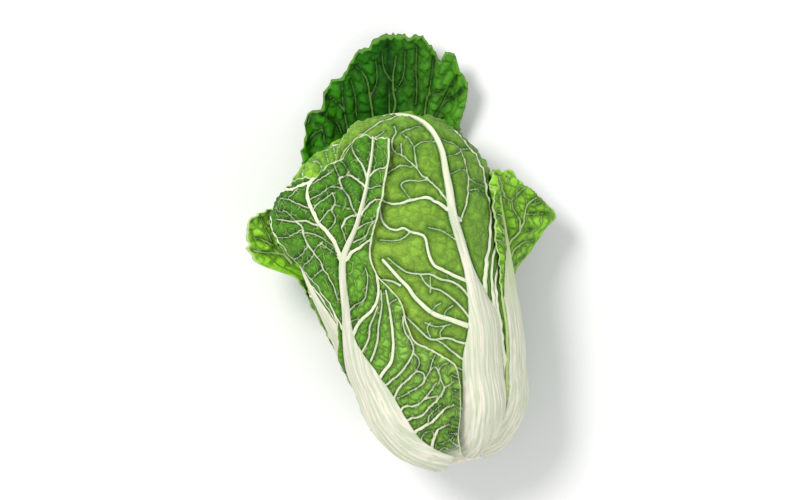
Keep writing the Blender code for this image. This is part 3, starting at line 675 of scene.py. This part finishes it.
def rounded(points, step):
    """A smooth line through the points, cut into equal steps."""
    points = np.asarray(points, float)
    gaps = np.linalg.norm(np.diff(points, axis=0), axis=1)
    at = np.concatenate([[0.0], np.cumsum(gaps)])
    count = max(2, int(at[-1] / step) + 1)
    places = np.linspace(0.0, at[-1], count)
    before = np.concatenate([points[:1], points[:-1]])
    after = np.concatenate([points[1:], points[-1:]])
    apart = np.concatenate([gaps[:1], gaps]) + np.concatenate([gaps, gaps[-1:]])
    slopes = (after - before) / np.maximum(apart, 1e-6)[:, None]
    left = np.clip(np.searchsorted(at, places) - 1, 0, len(points) - 2)
    length = (at[left + 1] - at[left])[:, None]
    t = (places - at[left])[:, None] / length
    return bent(t, points[left], points[left + 1], length * slopes[left], length * slopes[left + 1])


def tree_of(points):
    tree = kdtree.KDTree(len(points))
    for index, point in enumerate(points):
        tree.insert(point, index)
    tree.balance()
    return tree


def nearest(tree, points, count):
    """Indices and distances of the nearest few entries of a tree, for each point."""
    found = [tree.find_n(point, count) for point in points]
    indices = np.array([[entry[1] for entry in entries] for entries in found])
    distances = np.array([[entry[2] for entry in entries] for entries in found])
    return indices, distances


def taper(kind, count):
    start, end, height = VEIN_KINDS[kind]
    t = np.linspace(0.0, 1.0, count)
    widths = start + (end - start) * t
    return np.stack([widths, height * widths / max(start, end)], axis=-1)


def drawn_veins(name, surface, seen):
    """Veins from the photograph, laid on the leaf where it faces the camera."""
    if name not in DRAWN_VEINS or not seen.any():
        return np.zeros((0, 3)), np.zeros((0, 2))
    top = surface[seen]
    tree = tree_of([(x, y, 0.0) for x, y, z in top])
    points, sizes = [], []
    for kind, pixels in DRAWN_VEINS[name]:
        line = rounded(from_pixel(pixels), STEP)
        indices, distances = nearest(tree, [(x, y, 0.0) for x, y in line], 4)
        weight = 1 / (distances + 0.05)
        height = (top[indices, 2] * weight).sum(axis=1) / weight.sum(axis=1)
        on_leaf = distances[:, 0] < REACH_OF_DRAWING
        points.append(np.column_stack([line, height])[on_leaf])
        sizes.append(taper(kind, len(line))[on_leaf])
    return np.concatenate(points), np.concatenate(sizes)


def last_near(line, tree):
    """The first place of a line after which it stays clear of the drawn veins."""
    if tree is None:
        return 0
    near = np.flatnonzero(nearest(tree, line, 1)[1][:, 0] < CLEAR_OF_DRAWING)
    return int(near[-1]) + 1 if len(near) else 0


def ruled_veins(leaf, chance, drawn):
    """Forked side veins over the rest of the leaf, kept clear of the drawn ones."""
    drawn_tree = tree_of(drawn) if len(drawn) else None
    share = np.linspace(0.0, 1.0, VEIN_PLACES)
    points, sizes = [], []
    for side, count in zip((-1.0, 1.0), leaf["branches"]):
        for number in range(count):
            start = FIRST_VEIN + VEIN_SPAN * (number + chance.uniform(-0.2, 0.2)) / count
            forward = chance.uniform(0.02, 0.07)
            bend = VEIN_BEND * np.sin(share * chance.uniform(4, 9) + chance.uniform(0, 6))
            row = start + forward * share**1.4 + bend * share
            fork_at = chance.uniform(0.35, 0.6)
            fork = row + chance.choice((-1, 1)) * FORK_SPREAD * np.maximum(share - fork_at, 0.0)
            for rows, first in ((row, 0.0), (fork, fork_at)):
                keep = (share >= first) & (rows < LAST_ROW)
                sides = np.full(VEIN_PLACES, side)
                places = leaf_places(leaf, sides, np.clip(rows, 0, 1), share)
                line = middle_of(places)[keep]
                if len(line) < 2:
                    continue
                line = rounded(line, STEP)
                size = taper("rule", len(line)) * (1.0 if first == 0.0 else FORK_SIZE)
                begin = last_near(line, drawn_tree)
                if (len(line) - begin) * STEP < SHORTEST_VEIN:
                    continue
                if begin:
                    swell = smooth_step(0.0, SHORTEST_VEIN, np.arange(len(line) - begin) * STEP)
                    size[begin:] *= 0.3 + 0.7 * swell[:, None]
                points.append(line[begin:])
                sizes.append(size[begin:])
    if not points:
        return np.zeros((0, 3)), np.zeros((0, 2))
    return np.concatenate(points), np.concatenate(sizes)


def scattered(points, spacing, chance):
    """Points of the surface, no two of them closer than the spacing."""
    kept = {}
    for index in chance.permutation(len(points)):
        point = points[index]
        home = tuple(np.floor(point / spacing).astype(int))
        near = (
            other
            for i in (-1, 0, 1) for j in (-1, 0, 1) for k in (-1, 0, 1)
            for other in kept.get((home[0] + i, home[1] + j, home[2] + k), ())
        )
        if all(np.dot(other - point, other - point) >= spacing**2 for other in near):
            kept.setdefault(home, []).append(point)
    return np.array([point for cell in kept.values() for point in cell])


def wandering(points):
    """A smooth shift of every point, so that the net's borders are not straight."""
    x, y, z = points.T
    return NET_WANDER * np.stack(
        [
            np.sin(0.61 * y + 0.37 * z) + np.sin(0.43 * x - 0.71 * y),
            np.sin(0.53 * x + 0.47 * z) + np.sin(0.67 * z - 0.39 * y),
            np.sin(0.49 * x + 0.59 * y) + np.sin(0.73 * x - 0.31 * z),
        ],
        axis=-1,
    )


def crumpling(points):
    """Soft bumps and hollows, 10 to 30 mm wide, between -1 and 1."""
    x, y, z = points.T
    wide = np.sin(0.31 * x + 1.3 * np.sin(0.17 * y)) * np.sin(0.27 * y + 1.1 * np.sin(0.21 * z))
    fine = np.sin(0.63 * y + 1.7 * np.sin(0.33 * x)) * np.sin(0.55 * z + 0.48 * x)
    return 0.6 * wide + 0.4 * fine


def growth_of(name, leaf):
    """The leaf's veins and the seeds of its net, found once for both of its faces."""
    chance = np.random.default_rng(sum(map(ord, name)))
    surface = middle_of(places_on_grid(leaf, *face_grid(leaf, 1.0)))
    normal = np.cross(np.gradient(surface, axis=1), np.gradient(surface, axis=0))
    upward = normal[..., 2] / np.maximum(np.linalg.norm(normal, axis=-1), 1e-9)
    if leaf["shown"] == "inner":
        upward = -upward
    seen = upward > LEAST_UPWARD
    drawn, drawn_sizes = drawn_veins(name, surface, seen)
    ruled, ruled_sizes = ruled_veins(leaf, chance, drawn)
    pool = surface[::SEED_STEP, ::SEED_STEP].reshape(-1, 3)
    seeds = scattered(pool, leaf["cells"], chance)
    return dict(
        veins=tree_of(np.concatenate([drawn, ruled])),
        sizes=np.concatenate([drawn_sizes, ruled_sizes]),
        seeds=seeds,
        seed_tree=tree_of(seeds),
        tones=chance.random(len(seeds)),
    )


def relief_of(leaf, places, growth):
    """What stands on the leaf's sheet, in millimetres, and what its finish reads."""
    points = middle_of(places)
    flat = points.reshape(-1, 3)
    shape = points.shape[:-1]

    indices, distances = nearest(growth["veins"], flat, NEAREST_VEINS)
    half_width = growth["sizes"][indices, 0]
    height = growth["sizes"][indices, 1]
    vein_gap = (distances - half_width).min(axis=1).reshape(shape)
    vein_width = half_width[:, 0].reshape(shape)
    vein = height * np.exp(-((distances / (VEIN_SPREAD * half_width)) ** 2))
    vein = vein.max(axis=1).reshape(shape)

    moved = flat + wandering(flat)
    indices, distances = nearest(growth["seed_tree"], moved, 2)
    first, second = growth["seeds"][indices[:, 0]], growth["seeds"][indices[:, 1]]
    between = np.linalg.norm(first - second, axis=1)
    net_gap = (distances[:, 1] ** 2 - distances[:, 0] ** 2) / (2 * between)
    net_gap = net_gap.reshape(shape)
    tone = growth["tones"][indices[:, 0]].reshape(shape)

    rib_gap = places["rib_gap"]
    rib = np.clip(1 - places["from_crest"] ** 2, 0.0, 1.0)
    on_blade = smooth_step(0.0, BLADE_STARTS, rib_gap)
    on_blade_grown = on_blade * smooth_step(*YOUNG, places["along"])

    free = np.minimum(np.minimum(vein_gap, net_gap), rib_gap)
    puffed = 1 - np.exp(-((np.maximum(free, 0.0) / PUFF_WIDTH) ** 2))
    wide = np.maximum(np.minimum(vein_gap, rib_gap), 0.0)
    swollen = 1 - np.exp(-((wide / SWELL_WIDTH) ** 2))
    cells = leaf["puff"] * puffed + SWELL * swollen + CRUMPLE * crumpling(flat).reshape(shape)
    net = NET_HEIGHT * np.exp(-((net_gap / NET_HALF_WIDTH) ** 2)) * on_blade_grown
    line = 2 * math.pi * places["across"] / GROOVE_SPACING
    grooves = GROOVES * np.sin(line + GROOVE_DRIFT * np.sin(5 * places["along"])) * rib
    grooves = grooves * (1 - smooth_step(*GROOVES_FADE, places["along"]))
    relief = dict(
        cells=cells * on_blade_grown,
        veins=np.maximum(vein * on_blade, net),
        rib=places["crest"] * rib + grooves,
        vein_gap=vein_gap,
        net_gap=net_gap,
        rib_gap=rib_gap,
        rim_gap=places["rim_gap"],
        vein_width=vein_width,
        tone=tone,
        along=places["along"],
        across=places["across"],
    )
    for key, limits in GAP_LIMITS.items():
        relief[key] = np.clip(relief[key], *limits)
    return relief


def leaf_face(leaf, fineness, growth, face):
    """Points of one face of a leaf, row by row, with what its finish reads."""
    places = places_on_grid(leaf, *face_grid(leaf, fineness))
    relief = relief_of(leaf, places, growth)
    facing = 1.0 if leaf["shown"] == "outer" else -1.0
    height = facing * relief["cells"]
    if face == "outer":
        height = height + relief["rib"] + (1.0 if facing > 0 else INNER_VEINS) * relief["veins"]
    else:
        margin = 1 - THIN_MARGIN * places["blade"] ** 4
        height = height - BLADE * (1 + places["lift"]) * margin
        if facing < 0:
            height = height - BACK_OF_VEINS * relief["veins"]
    radius = places["sheet"] + height / HEAD_RADIUS
    points = in_head(radius[..., None] * places["way"])
    ground = 0.0 if face == "outer" else BLADE
    points[..., 2] = np.maximum(points[..., 2], ground)
    return points, relief


def grow_leaf(name, leaf):
    """Both faces as grids, bridged round the margin, and then laid on the head."""
    growth = growth_of(name, leaf)
    faces = {face: 1.0 if face == leaf["shown"] else HIDDEN_FACE for face in ("outer", "inner")}
    body = bmesh.new()
    sizes = {}
    for face, fineness in faces.items():
        across, rows = face_grid(leaf, fineness)
        sizes[face] = (len(across) - 1, len(rows) - 1)
        height = FACE_GAP / 2 if face == "outer" else -FACE_GAP / 2
        bmesh.ops.create_grid(
            body, x_segments=sizes[face][0], y_segments=sizes[face][1], size=0.5,
            matrix=Matrix.Translation((0.0, 0.0, height)),
        )
    rims = [edge for edge in body.edges if edge.is_boundary]
    bmesh.ops.bridge_loops(body, edges=rims)
    bmesh.ops.triangulate(body, faces=[face for face in body.faces if len(face.verts) > 4])
    bmesh.ops.recalc_face_normals(body, faces=body.faces)
    mesh = bpy.data.meshes.new(name)
    body.to_mesh(mesh)
    body.free()

    flat = np.empty(len(mesh.vertices) * 3, np.float32)
    mesh.vertices.foreach_get("co", flat)
    flat = flat.reshape(-1, 3)
    placed = np.empty((len(flat), 3))
    values = {key: np.empty(len(flat), np.float32) for key in ATTRIBUTES}
    for face, fineness in faces.items():
        points, relief = leaf_face(leaf, fineness, growth, face)
        mine = flat[:, 2] > 0 if face == "outer" else flat[:, 2] < 0
        column = np.rint((flat[mine, 0] + 0.5) * sizes[face][0]).astype(int)
        row = np.rint((flat[mine, 1] + 0.5) * sizes[face][1]).astype(int)
        placed[mine] = points[row, column]
        for key in ATTRIBUTES:
            values[key][mine] = relief[key][row, column]
    mesh.vertices.foreach_set("co", (placed * MM).astype(np.float32).ravel())
    for key in ATTRIBUTES:
        layer = mesh.attributes.new(key, "FLOAT", "POINT")
        layer.data.foreach_set("value", values[key])
    mesh.shade_smooth()
    mesh.update()
    made = bpy.data.objects.new(name + "_leaf", mesh)
    bpy.context.scene.collection.objects.link(made)
    return made


def heart_of_leaves():
    """The dense middle, with the ribs of its own packed leaves."""
    ball = bmesh.new()
    bmesh.ops.create_uvsphere(ball, u_segments=96, v_segments=60, radius=1.0)
    for vertex in ball.verts:
        x, y, z = vertex.co.normalized()
        out = np.array([x, z, -y])
        azimuth = math.atan2(out[0], out[2])
        ribs = HEART_RIB * math.cos(HEART_RIBS * azimuth) * (1 - out[1] ** 2)
        folds = HEART_RIB * math.sin(3 * azimuth + 9 * out[1]) * max(0.0, out[1]) ** 2
        vertex.co = in_head((HEART + ribs + folds * (1 - out[1] ** 2)) * out) * MM
    bmesh.ops.recalc_face_normals(ball, faces=ball.faces)
    return as_object("heart_leaves", ball)


def as_object(name, body):
    mesh = bpy.data.meshes.new(name)
    body.to_mesh(mesh)
    body.free()
    mesh.shade_smooth()
    made = bpy.data.objects.new(name, mesh)
    bpy.context.scene.collection.objects.link(made)
    return made


def finish_node(name, roughness, specular=0.35):
    made = bpy.data.materials.new(name)
    made.use_nodes = True
    shader = made.node_tree.nodes["Principled BSDF"]
    shader.inputs["Roughness"].default_value = roughness
    shader.inputs["Specular IOR Level"].default_value = specular
    return made, made.node_tree, shader


def colour(red, green, blue):
    """A display colour, 0 to 255, as the linear values that a shader takes."""
    def linear(value):
        value = value / 255
        return value / 12.92 if value <= 0.04045 else ((value + 0.055) / 1.055) ** 2.4
    return (linear(red), linear(green), linear(blue), 1.0)


def attribute(tree, name):
    node = tree.nodes.new("ShaderNodeAttribute")
    node.attribute_name = name
    return node.outputs["Fac"]


def remap(tree, value, low, high, to_low=0.0, to_high=1.0):
    node = tree.nodes.new("ShaderNodeMapRange")
    node.interpolation_type = "SMOOTHSTEP"
    node.inputs["From Min"].default_value = low
    node.inputs["From Max"].default_value = high
    node.inputs["To Min"].default_value = to_low
    node.inputs["To Max"].default_value = to_high
    tree.links.new(value, node.inputs["Value"])
    return node.outputs["Result"]


def arithmetic(tree, operation, *values):
    node = tree.nodes.new("ShaderNodeMath")
    node.operation = operation
    for socket, value in zip(node.inputs, values):
        if isinstance(value, (int, float)):
            socket.default_value = value
        else:
            tree.links.new(value, socket)
    return node.outputs[0]


def mixed(tree, factor, first, second, blend="MIX"):
    node = tree.nodes.new("ShaderNodeMix")
    node.data_type = "RGBA"
    node.blend_type = blend
    sockets = [node.inputs["Factor"]] + [s for s in node.inputs if s.type == "RGBA"]
    for socket, value in zip(sockets, (factor, first, second)):
        if isinstance(value, (int, float, tuple)):
            socket.default_value = value
        else:
            tree.links.new(value, socket)
    return next(s for s in node.outputs if s.type == "RGBA")


def noise(tree, scale, detail=3.0, stretch=(1.0, 1.0, 1.0), vector=None):
    """Noise on Object coordinates, or on a vector given instead."""
    if vector is None:
        vector = tree.nodes.new("ShaderNodeTexCoord").outputs["Object"]
    mapping = tree.nodes.new("ShaderNodeMapping")
    mapping.inputs["Scale"].default_value = stretch
    tree.links.new(vector, mapping.inputs["Vector"])
    node = tree.nodes.new("ShaderNodeTexNoise")
    node.inputs["Scale"].default_value = scale
    node.inputs["Detail"].default_value = detail
    tree.links.new(mapping.outputs["Vector"], node.inputs["Vector"])
    return node.outputs["Fac"]


def grain(tree, shader, scale, detail, strength, height):
    """A fine grain on the surface, too small to model."""
    bump = tree.nodes.new("ShaderNodeBump")
    bump.inputs["Strength"].default_value = strength
    bump.inputs["Distance"].default_value = height
    tree.links.new(noise(tree, scale, detail), bump.inputs["Height"])
    tree.links.new(bump.outputs["Normal"], shader.inputs["Normal"])


def ramp(tree, value, stops):
    node = tree.nodes.new("ShaderNodeValToRGB")
    elements = node.color_ramp.elements
    while len(elements) < len(stops):
        elements.new(0.5)
    for element, (place, shade) in zip(elements, stops):
        element.position = place
        element.color = shade
    tree.links.new(value, node.inputs["Fac"])
    return node.outputs["Color"]


LEAF_ROUGHNESS = 0.58
LEAF_SHINE = 0.16
VEIN = colour(226, 231, 200)
DARK_LEAF_VEIN = colour(98, 146, 56)
WING_VEIN = colour(186, 208, 140)
NET = colour(168, 200, 112)
PETIOLE = colour(230, 224, 208)
PETIOLE_SHADE = colour(198, 206, 180)
PETIOLE_GREEN = colour(160, 184, 120)


def blade_shades(tree, greens, sides, along, across):
    """Greens from base to tip and from side to side, mottled and freckled."""
    base = ramp(tree, along, [(0.05, greens[0]), (0.45, greens[1]), (0.95, greens[2])])
    if sides:
        low, middle, high, reach, strength = sides
        place = arithmetic(tree, "MULTIPLY_ADD", across, 0.5 / reach, 0.5)
        over = ramp(tree, place, [(0.0, low), (0.5, middle), (1.0, high)])
        base = mixed(tree, strength, base, over)
    patches = remap(tree, noise(tree, 28.0), 0.35, 0.65, 0.0, 0.35)
    base = mixed(tree, patches, base, greens[1])
    freckles = remap(tree, noise(tree, 420.0, 4.0), 0.3, 0.7, 0.86, 1.12)
    return mixed(tree, 1.0, base, freckles, "MULTIPLY")


def petiole_shades(tree, veins, along, across):
    """Fine streaks along the petiole, in the shade of the veins towards the tip."""
    place = tree.nodes.new("ShaderNodeCombineXYZ")
    tree.links.new(arithmetic(tree, "MULTIPLY", across, 0.001), place.inputs["X"])
    tree.links.new(arithmetic(tree, "MULTIPLY", along, 0.02), place.inputs["Y"])
    streaks = noise(tree, 420.0, 3.0, vector=place.outputs["Vector"])
    base = mixed(tree, remap(tree, streaks, 0.4, 0.62), PETIOLE_SHADE, PETIOLE)
    thin_streaks = noise(tree, 1100.0, 2.0, vector=place.outputs["Vector"])
    base = mixed(tree, remap(tree, thin_streaks, 0.58, 0.7, 0.0, 0.55), base, PETIOLE_GREEN)
    return mixed(tree, remap(tree, along, 0.5, 0.85), base, veins)


def leaf_finish(name, greens, painted_vein_shade, net, veins=VEIN, net_shade=NET, sides=None, edge=0.35):
    """A leaf: greens, painted shade by the veins, then the pale net, veins, rim and petiole.

    greens: shades at the base, in the middle and at the tip
    painted_vein_shade: the painted shade beside the veins and the net
    net: how strongly the net shows
    sides: shades over the low side, the middle and the high side, their reach and their strength
    edge: how wide the pale rim is
    """
    made, tree, shader = finish_node(name, LEAF_ROUGHNESS, LEAF_SHINE)
    vein_gap, vein_width, net_gap, rib_gap, rim_gap, tone, along, across = (
        attribute(tree, key) for key in ("vein_gap", "vein_width", "net_gap", "rib_gap", "rim_gap",
                                         "tone", "along", "across")
    )
    base = blade_shades(tree, greens, sides, along, across)
    cell_tones = remap(tree, tone, 0.0, 1.0, 0.88, 1.12)
    base = mixed(tree, 1.0, base, cell_tones, "MULTIPLY")
    # Painted light and shade: the blade is painted darker beside the veins and the net, where creases
    # lie in shade, and lighter in the middle of each puffed cell
    from_vein = arithmetic(tree, "MINIMUM", vein_gap, rib_gap)
    painted_cell_light = remap(tree, from_vein, 1.0, 6.0, 0.84, 1.2)
    base = mixed(tree, 1.0, base, painted_cell_light, "MULTIPLY")
    uneven = remap(tree, noise(tree, 150.0, 2.0), 0.3, 0.6, 0.5, 1.0)
    painted_shade_by_vein = arithmetic(tree, "MULTIPLY", remap(tree, from_vein, 0.0, 3.6, 1.0, 0.0), uneven)
    painted_shade_by_net = remap(tree, net_gap, 0.1, 1.9, 1.15 * net, 0.0)
    base = mixed(tree, arithmetic(tree, "MAXIMUM", painted_shade_by_vein, painted_shade_by_net), base, painted_vein_shade)

    base = mixed(tree, remap(tree, net_gap, 0.0, 0.6, net, 0.0), base, net_shade)
    brighter = remap(tree, vein_width, 0.2, 0.9, 0.62, 1.0)
    on_vein = arithmetic(tree, "MULTIPLY", remap(tree, vein_gap, 0.0, 0.5, 1.0, 0.0), brighter)
    on_rim = remap(tree, rim_gap, edge, edge + 0.6, 0.8, 0.0)
    base = mixed(tree, arithmetic(tree, "MAXIMUM", on_vein, on_rim), base, veins)

    on_rib = remap(tree, rib_gap, -0.5, 0.5, 1.0, 0.0)
    young = remap(tree, along, 0.0, 0.07, 0.8, 0.0)
    on_petiole = arithmetic(tree, "MAXIMUM", on_rib, young)
    base = mixed(tree, on_petiole, base, petiole_shades(tree, veins, along, across))
    tree.links.new(base, shader.inputs["Base Color"])
    grain(tree, shader, 900.0, 3.0, 0.25, 0.0006)
    return made


LIGHT_GREENS = (colour(148, 174, 76), colour(120, 156, 50), colour(78, 128, 32))
BRIGHT_GREENS = (colour(132, 176, 56), colour(124, 172, 44), colour(120, 170, 40))
MID_GREENS = (colour(124, 168, 66), colour(100, 156, 42), colour(42, 104, 2))
WING_GREENS = (colour(130, 184, 52), colour(124, 182, 44), colour(132, 190, 48))
# Painted light: the left wing's greens are made brighter to make up for the shade that it lies in
WING_GREENS_WITH_PAINTED_LIGHT = (colour(140, 202, 60), colour(140, 204, 52), colour(148, 212, 56))
DARK_GREENS = (colour(86, 140, 20), colour(46, 114, 8), colour(40, 110, 4))
# Painted shade: the front right leaf is darker and cooler over its high side, which turns away from
# the key lamp
FRONT_RIGHT_PAINTED_SHADE_SIDES = (colour(126, 158, 54), colour(100, 142, 46), colour(76, 128, 52), 70, 0.7)
FRONT_LEFT_SIDES = (colour(62, 124, 20), colour(84, 144, 34), colour(142, 182, 84), 52, 0.5)
# Painted shade: the under leaf is dark green, and painted darkest over its cupped middle, where shade
# falls by the head
UNDER_PAINTED_SHADE_SIDES = (colour(104, 170, 48), colour(4, 74, 0), colour(54, 134, 0), 44, 0.75)
FINISHES = {
    "leaf_front_left": dict(greens=MID_GREENS, painted_vein_shade=colour(4, 54, 0), net=0.6,
                            sides=FRONT_LEFT_SIDES, edge=0.8),
    "leaf_front_right": dict(greens=LIGHT_GREENS, painted_vein_shade=colour(36, 92, 8), net=0.34,
                             sides=FRONT_RIGHT_PAINTED_SHADE_SIDES),
    "leaf_crown": dict(greens=BRIGHT_GREENS, painted_vein_shade=colour(44, 108, 6), net=0.42),
    "leaf_left": dict(greens=MID_GREENS, painted_vein_shade=colour(16, 72, 4), net=0.45),
    "leaf_right": dict(greens=LIGHT_GREENS, painted_vein_shade=colour(48, 104, 20), net=0.35),
    "leaf_back_left": dict(greens=LIGHT_GREENS, painted_vein_shade=colour(50, 106, 18), net=0.35),
    "leaf_back_right": dict(greens=LIGHT_GREENS, painted_vein_shade=colour(50, 106, 18), net=0.35),
    "leaf_outer_right": dict(greens=WING_GREENS, painted_vein_shade=colour(16, 70, 0), net=0.68,
                             veins=WING_VEIN),
    "leaf_outer_left": dict(greens=WING_GREENS_WITH_PAINTED_LIGHT, painted_vein_shade=colour(16, 72, 0), net=0.65,
                            veins=WING_VEIN),
    "leaf_under": dict(greens=DARK_GREENS, painted_vein_shade=colour(0, 36, 0), net=0.4,
                       veins=DARK_LEAF_VEIN, net_shade=colour(66, 130, 26), sides=UNDER_PAINTED_SHADE_SIDES),
}
SLOTS = {
    "leaf_light": ["leaf_front_right", "leaf_crown", "leaf_right", "leaf_back_left",
                   "leaf_back_right"],
    "leaf_green": ["leaf_front_left", "leaf_left", "leaf_outer_right"],
    "leaf_dark": ["leaf_outer_left", "leaf_under"],
}


def packed_finish():
    made, tree, shader = finish_node("packed_leaves", 0.5)
    folds = remap(tree, noise(tree, 30.0, 4.0, (1.0, 0.3, 1.0)), 0.35, 0.65)
    base = mixed(tree, folds, colour(206, 214, 130), colour(232, 232, 180))
    tree.links.new(base, shader.inputs["Base Color"])
    return made


def stem_finish():
    """Pale fibres of a cut stem, browned a little in places."""
    made, tree, shader = finish_node("cut_stem", 0.55)
    fibres = remap(tree, noise(tree, 260.0, 4.0), 0.35, 0.7)
    base = mixed(tree, fibres, colour(226, 220, 196), colour(243, 239, 224))
    stains = remap(tree, noise(tree, 60.0, 3.0), 0.55, 0.75, 0.0, 0.5)
    base = mixed(tree, stains, base, colour(196, 182, 140))
    tree.links.new(base, shader.inputs["Base Color"])
    grain(tree, shader, 500.0, 4.0, 0.4, 0.0008)
    return made


def stub_of_stem():
    """The stub of the stem: lumpy, with a rounded rim and a ringed face, and wider inside."""
    stub = bmesh.new()
    depth = STEM_FACE - STEM_BACK
    bmesh.ops.create_cone(
        stub, cap_ends=True, segments=64, radius1=STEM_RADIUS, radius2=STEM_RADIUS, depth=depth
    )
    rims = [edge for edge in stub.edges if edge.calc_face_angle() > math.radians(45)]
    bmesh.ops.bevel(
        stub, geom=rims, offset=STEM_EDGE, segments=3, affect="EDGES", profile=0.5, material=-1
    )
    caps = [face for face in stub.faces if len(face.verts) > 8]
    for cap in caps:
        for _ in range(STEM_RINGS):
            bmesh.ops.inset_individual(stub, faces=[cap], thickness=STEM_RING)
    bow = float(eased(ALONG, BOW, -1.0))
    middle = float(eased(ALONG, MIDDLE, -1.0))
    for vertex in stub.verts:
        x, y, z = vertex.co
        around = math.atan2(y, x)
        radius = math.hypot(x, y)
        width = 1 - 0.012 * (1 + math.sin(5 * around)) - 0.01 * (1 + math.sin(9 * around + 1))
        width *= 1 + STEM_SPREAD * smooth_step(-0.25 * depth, 0.5 * depth, z)
        if z < 0 and radius < STEM_RADIUS - 1:
            z += 0.25 * (1 + math.sin(1.1 * radius))
        vertex.co = (
            (x * width + bow) * MM,
            (z - (STEM_FACE + STEM_BACK) / 2) * MM,
            (HEIGHT_TO_WIDTH * y * width + middle) * MM,
        )
    bmesh.ops.recalc_face_normals(stub, faces=stub.faces)
    return as_object("stem_stub", stub)


def settle(piece, node, finish):
    piece.data.materials.append(finish)
    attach(piece, "root")
    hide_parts(node)


def floor():
    sheet = bmesh.new()
    bmesh.ops.create_grid(
        sheet, x_segments=1, y_segments=1, size=FLOOR_SIZE,
        matrix=Matrix.Translation((0.0, 0.0, -FLOOR_DROP)),
    )
    made = as_object("floor", sheet)
    finish, _, shader = finish_node("floor", 0.9, 0.1)
    shader.inputs["Base Color"].default_value = (0.9, 0.9, 0.9, 1.0)
    made.data.materials.append(finish)


def lamps():
    """A large soft light from the photograph's upper left, and a weak one from the lower right."""
    for name, place, size, power, shade in LAMPS:
        lamp = bpy.data.lights.new(name, "AREA")
        lamp.shape = "DISK"
        lamp.size = size
        lamp.energy = power
        lamp.color = shade
        holder = bpy.data.objects.new(name, lamp)
        holder.location = LEANING @ Vector(place)
        aim = LIT_POINT - holder.location
        holder.rotation_euler = aim.to_track_quat("-Z", "Y").to_euler()
        bpy.context.scene.collection.objects.link(holder)


def sky():
    world = bpy.data.worlds.new("sky")
    world.use_nodes = True
    background = world.node_tree.nodes["Background"]
    background.inputs["Color"].default_value = SKY
    background.inputs["Strength"].default_value = SKY_STRENGTH
    bpy.context.scene.world = world
    bpy.context.scene.view_settings.view_transform = "Standard"


def camera():
    """Straight above, turned so that the head leans as in the photograph."""
    lens = bpy.data.cameras.new("camera")
    width = PICTURE[0] * PIXEL * MM
    lens.sensor_width = SENSOR
    lens.lens = SENSOR * (CAMERA_HEIGHT - CAMERA_LEVEL) / width
    lens.clip_start = 0.1
    lens.clip_end = 5 * CAMERA_HEIGHT
    holder = bpy.data.objects.new("camera", lens)
    x, y = from_pixel((PICTURE[0] / 2, PICTURE[1] / 2)) * MM
    holder.location = (x, y, CAMERA_HEIGHT)
    holder.rotation_euler = LEANING.to_euler()
    bpy.context.scene.collection.objects.link(holder)
    bpy.context.scene.camera = holder


def main():
    settle(stub_of_stem(), "stem", stem_finish())
    settle(heart_of_leaves(), "heart", packed_finish())
    for slot, names in SLOTS.items():
        for name in names:
            finish = leaf_finish(name, **FINISHES[name])
            settle(grow_leaf(name, PLAIN_LEAF | LEAVES[name]), name, finish)
    floor()
    lamps()
    sky()
    camera()


main()
bpy.context.view_layer.update()
